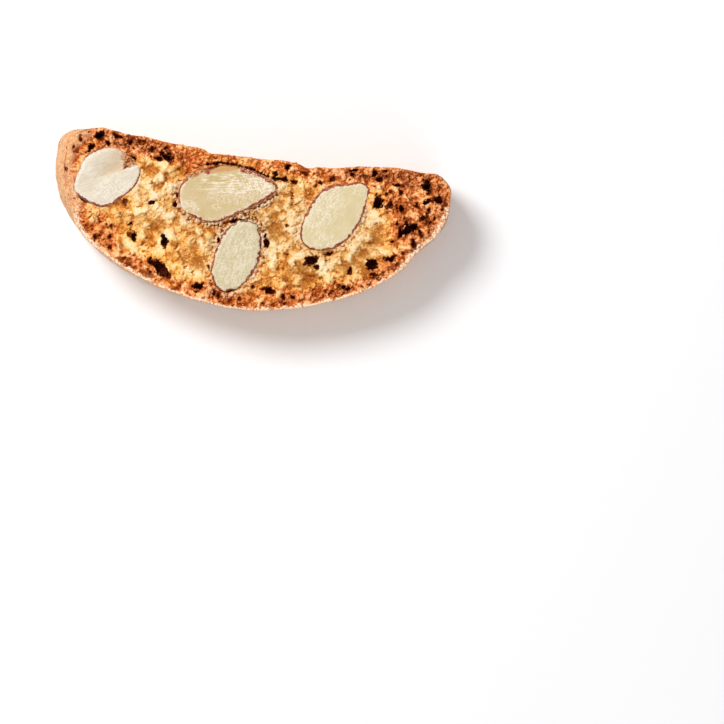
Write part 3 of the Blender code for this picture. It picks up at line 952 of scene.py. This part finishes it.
class BISCOTTI_OT_grains(bpy.types.Operator):
    """Scatters small grains of crumb over the upper cut face"""

    bl_idname = "biscotti.grains"
    bl_label = "Grains"

    def execute(self, context):
        look = context.scene.biscotti_crumb
        dough = bpy.data.objects["dough"].data
        brown, pore, rim = (dough.attributes[name].data for name in ("brown", "pore", "rim"))
        rng = random.Random(23)
        places = [
            v
            for v in dough.vertices
            if v.co.z > (THICKNESS - 1.6) * MM
            and v.normal.z > 0.35
            and pore[v.index].value < 0.2
            and rim[v.index].value < 0.3
        ]
        bm = bmesh.new()
        tint = bm.verts.layers.float.new("brown")
        for vert in rng.sample(places, min(len(places), look.grain_count)):
            size = rng.uniform(0.12, 0.26) * MM
            stretch = Vector((rng.uniform(0.8, 1.5), rng.uniform(0.7, 1.2), rng.uniform(0.5, 0.8)))
            turn = Matrix.Rotation(rng.uniform(0, 6.28), 4, "Z")
            turn = turn @ Matrix.Rotation(rng.uniform(-0.6, 0.6), 4, "X")
            sunk = vert.co - Vector((0.0, 0.0, 0.3 * size))
            shape = Matrix.Translation(sunk) @ turn @ Matrix.Diagonal((*(stretch * size), 1))
            made = bmesh.ops.create_icosphere(bm, subdivisions=2, radius=1.0, matrix=shape)
            for corner in made["verts"]:
                away = corner.co - vert.co
                corner.co += away * 0.7 * noise.noise(corner.co / size * 0.9)
                corner[tint] = brown[vert.index].value
        to_scene(bm, "grains", grain_material(look))
        return {"FINISHED"}


def grain_material(look):
    shader = Shader("crumb_grains", Roughness=0.8, Specular_IOR_Level=0.12)
    brown = shader.attribute("brown")
    specks = shader.clouds(0.6 * MM, 2.0, 0.6)
    pale = shader.mix(specks.between(0.3, 0.7), look.gold, look.cream)
    baked = shader.mix(specks.between(0.3, 0.7), look.toast_low, look.toast)
    colour = shader.mix(brown.between(0.1, 0.9), pale, baked)
    fine = shader.clouds(0.15 * MM, 2.0, 0.6)
    return shader.finish(Base_Color=colour, Normal=shader.bump(fine, 0.05 * MM))


# What an almond's material reads at each of its points.
KERNEL_MARKS = ("edge", "skin", "streak", "dust", "crumb", "lip")


class Kernel:
    """How one almond's cut differs from the others; places as in the lists of holes."""

    def __init__(self, flesh, deep, pale, grain_turn, waves, skins, streaks, dusty):
        self.flesh, self.deep, self.pale = flesh, deep, pale
        self.grain_turn = grain_turn  # which way its fibres run, in degrees
        self.waves = waves  # how uneven its outline is
        self.skins = skins  # where its skin shows: (direction, half width, thickness)
        self.streaks = streaks  # where its fibres show
        self.dusty = dusty  # where it is chalky


KERNELS = {
    "almond_left": Kernel(
        tone(217, 206, 187), tone(200, 180, 152), tone(233, 224, 208), 27.0, 0.1,
        ((-62, 78, 0.22),),
        ((-29.0, 6.0, 8.0, 6.0, 0, 0.35),),
        ((-27.5, 4.5, 4.0, 3.0, 27, 0.6),),
    ),
    "almond_centre": Kernel(
        tone(204, 181, 140), tone(190, 166, 108), tone(236, 221, 200), 9.0, 0.12,
        (
            (-95, 40, 0.4), (-50, 50, 0.32), (-15, 30, 0.3),
            (178, 26, 0.25), (38, 24, 0.75), (140, 34, 0.35),
        ),
        (
            (-4.0, 8.4, 8.0, 2.6, 8, 1.0), (1.5, 9.0, 3.5, 1.6, -12, 1.0),
            (-12.0, 3.6, 2.5, 1.2, 0, 0.5),
        ),
        (
            (1.2, 8.8, 4.0, 2.0, -15, 1.0), (-11.2, 2.9, 2.0, 0.9, -25, 0.7),
            (-1.5, 6.8, 7.5, 3.2, 8, 0.45), (-6.5, 3.4, 1.2, 0.8, 0, 0.6),
        ),
    ),
    "almond_lower": Kernel(
        tone(203, 187, 150), tone(188, 172, 126), tone(224, 213, 190), 78.0, 0.42,
        ((180, 60, 0.22), (-90, 60, 0.26), (0, 70, 0.22), (90, 40, 0.16)),
        ((-1.2, -6.0, 4.5, 7.5, 0, 0.6),),
        (
            (-1.2, -6.0, 5.0, 8.0, 0, 0.45), (1.0, -3.0, 2.0, 3.0, -20, 0.7),
            (-3.3, -9.5, 1.6, 3.0, 10, 0.7),
        ),
    ),
    "almond_right": Kernel(
        tone(214, 196, 156), tone(198, 180, 130), tone(230, 217, 192), 62.0, 0.24,
        ((0, 180, 0.26), (130, 60, 0.42)),
        ((15.0, 5.0, 4.5, 6.5, -20, 0.5),),
        (
            (14.6, 6.5, 3.4, 6.5, -25, 0.8), (16.0, -1.0, 4.0, 2.0, 10, 0.7),
            (20.5, 10.5, 3.0, 1.5, 0, 0.6),
        ),
    ),
}  # fmt: skip

# The wedge between the halves of the left almond, and the crest of its lower half.
NOTCH = ((-26.15, 8.35), (-26.6, 12.9), (-21.8, 12.9), (-21.9, 10.3))
NOTCH_DEPTH = 0.6
CREST = ((-34.3, 4.1), (-23.6, 9.5))
# Crumb lies over the long almond beyond these points. The smooth strip along its top runs between
# these x, and a brown scratch is here.
COVERED = ((-16.5, 5.2), (-13.5, 7.3), (-11.6, 8.6), (-9.3, 9.5), (-9.4, 12.8), (-16.5, 12.8))
LIP = (-9.4, -2.0)
SCRATCH = (-11.5, 2.6, 0.7, 0.15, -40, 0.0)
# Skin in millimetres, fibres and chalk all over the almonds' cuts at the underside.
UNDERSIDE = (0.25, 0.5, 0.4)


def spots_at(spots, x, y):
    """How strongly a point is in any of a list of spots, from 0 to 1."""
    found = 0.0
    for spot in spots:
        share = in_ellipse(x, y, spot) + 0.3 * noise_at(x, y, 1.4, 15.0)
        found = max(found, spot[5] * smooth(1.1, 0.6, share))
    return found


def skin_at(kernel, centre, x, y):
    """Thickness in millimetres of the skin that an almond shows at the edge near a point."""
    direction = math.degrees(math.atan2(y - centre.y, x - centre.x))
    found = 0.0
    for middle, half_width, amount in kernel.skins:
        apart = abs((direction - middle + 180) % 360 - 180)
        found = max(found, amount * smooth(half_width + 8, half_width - 8, apart))
    return found


def beyond_crest(x, y):
    """Distance in millimetres from the crest of the left almond, towards its upper half."""
    (ax, ay), (bx, by) = CREST
    return ((bx - ax) * (y - ay) - (by - ay) * (x - ax)) / math.hypot(bx - ax, by - ay)


def lip_at(x, y):
    """How far a point is on the smooth strip along the top of the long almond."""
    along = x - LIP[0]
    above = y - (9.95 + 0.1 * along + 0.022 * along * along + 0.15 * noise_at(x, y, 1.2, 3.0))
    return smooth(-0.08, 0.12, above) * smooth(-0.2, 0.2, along) * smooth(0.0, -0.9, x - LIP[1])


class BISCOTTI_OT_almonds(bpy.types.Operator):
    """Makes the four cut almonds"""

    bl_idname = "biscotti.almonds"
    bl_label = "Almonds"

    def execute(self, context):
        look = context.scene.biscotti_almonds
        notch = prism("notch", NOTCH, THICKNESS - NOTCH_DEPTH, THICKNESS + 1.0)
        for node, kernel in KERNELS.items():
            bm = even_copy(node, look.mesh_step, notch if node == "almond_left" else None)
            marks = {name: bm.verts.layers.float.new(name) for name in KERNEL_MARKS}
            low, high = (corner.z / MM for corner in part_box(node))
            if node == "almond_left":
                cover_with_crumb(bm, NOTCH, high, NOTCH_DEPTH, marks["crumb"])
            if node == "almond_centre":
                cover_with_crumb(bm, COVERED, high, 0.1, marks["crumb"])
            for vert in bm.verts:
                flat = Vector((vert.normal.x, vert.normal.y, 0.0))
                place = vert.co / MM
                uneven = noise.noise(place / 1.3) + 0.6 * noise.noise(place / 0.5)
                grow = look.grow + (kernel.waves * uneven + 0.4 * vert[marks["crumb"]]) * MM
                vert.co += flat * grow
            bm.normal_update()
            for sign, level in ((1, high), (-1, low)):
                if sign > 0 or level < 1.0:
                    self.finish_cut(bm, node, kernel, marks, sign, level)
            bmesh.ops.triangulate(bm, faces=bm.faces)
            name = node.replace("almond_", "kernel_")
            material = flesh_material(name, kernel, look)
            to_scene(bm, name, material, node)
        bpy.data.objects.remove(notch)
        return {"FINISHED"}

    def finish_cut(self, bm, node, kernel, marks, sign, level):
        """Marks and shapes one cut face of an almond."""
        cut = [
            f
            for f in bm.faces
            if f.normal.z * sign > 0.6 and abs(f.calc_center_median().z / MM - level) < 0.5
        ]
        tree = tree_of([p for g in face_edges(bm, cut) if width_of(g) > 4.0 for p in g])
        verts = {v for f in cut for v in f.verts}
        centre = sum((v.co / MM for v in verts), Vector()) / len(verts)
        for vert in verts:
            x, y, _ = vert.co / MM
            edge = flat_distance(tree, x, y)[2]
            skin, streak, dust = UNDERSIDE
            if sign > 0:
                skin = skin_at(kernel, centre, x, y)
                streak = spots_at(kernel.streaks, x, y)
                dust = spots_at(kernel.dusty, x, y)
            vert[marks["edge"]] = edge
            vert[marks["skin"]] = skin
            vert[marks["streak"]] = streak
            vert[marks["dust"]] = dust
            turn = math.radians(kernel.grain_turn)
            along = x * math.cos(turn) + y * math.sin(turn)
            across = y * math.cos(turn) - x * math.sin(turn)
            fibre = noise.noise(Vector((along / 2.4, across / 0.45, 5.0)))
            rough = 0.06 * noise_at(x, y, 1.6, 2.0) + 0.05 * noise_at(x, y, 0.6, 4.0)
            rise = rough + 0.05 * streak * fibre - 0.04 - 0.14 * smooth(0.35, 0.0, edge)
            if node == "almond_left" and sign > 0:
                above = beyond_crest(x, y)
                step = smooth(-0.1, 0.3, above) * smooth(4.6, 0.8, above)
                rise -= 0.9 * step * smooth(-34.0, -27.5, x)
                # On the left almond, the lip mark paints shade over the upper half beside its notch.
                vert[marks["lip"]] = 0.4 * smooth(-0.05, 0.15, above) * smooth(-32.0, -26.5, x)
            if node == "almond_centre":
                lip = lip_at(x, y)
                vert[marks["lip"]] = lip
                scratch = smooth(1.1, 0.7, in_ellipse(x, y, SCRATCH))
                vert[marks["edge"]] = edge * (1 - scratch)
                vert[marks["skin"]] = max(vert[marks["skin"]], 0.4 * scratch)
                rise -= 0.55 * lip + 0.15 * scratch
            vert.co.z += sign * rise * (1 - vert[marks["crumb"]]) * MM


def cover_with_crumb(bm, outline, top, depth, crumb):
    """Makes broken crumb of an almond within an outline, down to a depth in millimetres."""
    middle = sum((Vector(corner) for corner in outline), Vector((0.0, 0.0))) / len(outline)
    grown = [middle + (Vector(corner) - middle) * 1.08 for corner in outline]
    for vert in bm.verts:
        x, y, z = vert.co / MM
        outside = []
        for (ax, ay), (bx, by) in zip(grown, grown[1:] + grown[:1]):
            across = (bx - ax) * (y - ay) - (by - ay) * (x - ax)
            outside.append(across / math.hypot(bx - ax, by - ay))
        signed = min(outside) if outline_turns_left(outline) else -max(outside)
        below = top - z
        if signed > 0 and below < depth + 2.5:
            lump = 0.5 + 0.5 * chunk_height(x, y, 0.9, 3.0) + 0.4 * noise_at(x, y, 0.4, 5.0)
            floor = min(below, depth) + 0.45 * (1 - lump)
            vert.co.z = (top - max(0.05, floor)) * MM
            vert[crumb] = smooth(0.0, 0.2, signed)


def outline_turns_left(outline):
    pairs = zip(outline, (*outline[1:], outline[0]))
    return sum(ax * by - bx * ay for (ax, ay), (bx, by) in pairs) > 0


def flesh_material(name, kernel, look):
    """An almond's flesh with its fibres, its chalky parts, its skin and what clings to it."""
    shader = Shader(name + "_flesh", Roughness=0.55, Specular_IOR_Level=0.25)
    edge, skin, streak, dust, crumb, lip = (shader.attribute(m) for m in KERNEL_MARKS)
    turn = math.radians(kernel.grain_turn)
    fibres = shader.clouds(0.34 * MM, 3.0, 0.6, (4.5, 1.0, 1.0), turn)
    fine = shader.clouds(0.3 * MM, 3.0, 0.6)
    coarse = shader.clouds(0.6 * MM, 2.0, 0.6)
    broad = shader.clouds(3.0 * MM, 2.0, 0.5)
    colour = shader.mix(broad.between(0.3, 0.7) * 0.45, kernel.flesh, kernel.deep)
    colour = shader.mix(fibres.between(0.48, 0.6) * streak, colour, kernel.pale)
    colour = shader.mix(fibres.between(0.48, 0.36) * streak * 0.8, colour, kernel.deep)
    colour = shader.mix(fine.between(0.46, 0.58) * dust, colour, kernel.pale)
    colour = shader.mix(fine.between(0.5, 0.38) * 0.35, colour, kernel.deep)
    colour = shader.mix(edge.between(0.9, 0.3) * coarse.between(0.4, 0.6) * 0.6, colour, kernel.pale)
    # The lip colour is the long almond's tan strip, and painted shade on the left almond's upper
    # half.
    colour = shader.mix(lip, colour, look.lip_colour)
    lumps = coarse * 0.6 + fine * 0.4
    baked = shader.mix(lumps.between(0.4, 0.58), look.crumb_low, look.crumb_top)
    colour = shader.mix(crumb, colour, baked)
    patchy = shader.clouds(1.5 * MM, 2.0, 0.6)
    width = skin * (patchy.between(0.38, 0.62) * 0.8 + 0.4) + (fine - 0.5) * 0.22
    line = (width - edge).between(-0.04, 0.05)
    tint = shader.mix(coarse.between(0.4, 0.6), look.skin_dark, look.skin_colour)
    tint = shader.mix(fine.between(0.48, 0.6) * skin.between(0.35, 0.6), tint, look.skin_crumb)
    colour = shader.mix(line * (1 - crumb), colour, tint)
    height = fibres * streak + fine * 0.4
    return shader.finish(Base_Color=colour, Normal=shader.bump(height, 0.08 * MM))


# The camera looks straight down from here, in millimetres, turned a little about the upright.
CAMERA_PLACE = (26.52, -23.58, THICKNESS + 1000.0)
CAMERA_TURN = math.radians(7.5)
CAMERA_LENS = 248.4
FILL_SHARE = 0.4


def soft_light(name, size, power, place):
    """A round light, with its size and place in metres, that shines on the slice."""
    light = bpy.data.lights.new(name, "AREA")
    light.shape = "DISK"
    light.size = size
    light.energy = power
    lamp = bpy.data.objects.new(name, light)
    lamp.location = place
    lamp.rotation_euler = (-Vector(place)).to_track_quat("-Z", "Y").to_euler()
    bpy.context.scene.collection.objects.link(lamp)


class BISCOTTI_OT_stage(bpy.types.Operator):
    """Makes the floor, the lights and the camera"""

    bl_idname = "biscotti.stage"
    bl_label = "Stage"

    def execute(self, context):
        look = context.scene.biscotti_stage
        bm = bmesh.new()
        bmesh.ops.create_grid(bm, x_segments=1, y_segments=1, size=2.0)
        mesh = bpy.data.meshes.new("floor")
        bm.to_mesh(mesh)
        bm.free()
        shader = Shader("floor", Roughness=0.9)
        mesh.materials.append(shader.finish(Base_Color=look.floor_colour))
        floor = bpy.data.objects.new("floor", mesh)
        context.scene.collection.objects.link(floor)

        world = bpy.data.worlds.new("surroundings")
        world.use_nodes = True
        background = world.node_tree.nodes["Background"]
        background.inputs["Color"].default_value = (1, 1, 1, 1)
        background.inputs["Strength"].default_value = look.sky
        context.scene.world = world
        soft_light("key", 0.24, look.key_power, (-0.27, 0.22, 0.46))
        soft_light("fill", 0.5, FILL_SHARE * look.key_power, (0.25, -0.5, 0.22))

        camera = bpy.data.cameras.new("camera")
        camera.sensor_width = 36.0
        camera.lens = CAMERA_LENS
        camera.clip_end = 10.0
        stand = bpy.data.objects.new("camera", camera)
        stand.location = [part * MM for part in CAMERA_PLACE]
        stand.rotation_euler = (0.0, 0.0, CAMERA_TURN)
        context.scene.collection.objects.link(stand)
        context.scene.camera = stand
        context.scene.view_settings.view_transform = "Standard"
        context.scene.view_settings.look = "None"
        return {"FINISHED"}


class BISCOTTI_PT_pieces(bpy.types.Panel):
    """Lists the pieces of the biscotti"""

    bl_idname = "BISCOTTI_PT_pieces"
    bl_label = "Almond biscotti"
    bl_space_type = "VIEW_3D"
    bl_region_type = "UI"
    bl_category = "Biscotti"

    def draw(self, context):
        for made in (
            BISCOTTI_OT_dough,
            BISCOTTI_OT_grains,
            BISCOTTI_OT_almonds,
            BISCOTTI_OT_stage,
        ):
            self.layout.operator(made.bl_idname)
        for group in (
            context.scene.biscotti_crumb,
            context.scene.biscotti_almonds,
            context.scene.biscotti_stage,
        ):
            box = self.layout.box()
            for name in group.__annotations__:
                box.prop(group, name)


CLASSES = (
    CrumbLook,
    AlmondLook,
    StageLook,
    BISCOTTI_OT_dough,
    BISCOTTI_OT_grains,
    BISCOTTI_OT_almonds,
    BISCOTTI_OT_stage,
    BISCOTTI_PT_pieces,
)


def register():
    for each in CLASSES:
        bpy.utils.register_class(each)
    bpy.types.Scene.biscotti_crumb = PointerProperty(type=CrumbLook)
    bpy.types.Scene.biscotti_almonds = PointerProperty(type=AlmondLook)
    bpy.types.Scene.biscotti_stage = PointerProperty(type=StageLook)


def unregister():
    del bpy.types.Scene.biscotti_crumb
    del bpy.types.Scene.biscotti_almonds
    del bpy.types.Scene.biscotti_stage
    for each in reversed(CLASSES):
        bpy.utils.unregister_class(each)


def main():
    register()
    bpy.ops.biscotti.dough()
    bpy.ops.biscotti.grains()
    bpy.ops.biscotti.almonds()
    bpy.ops.biscotti.stage()


if __name__ == "__main__":
    main()
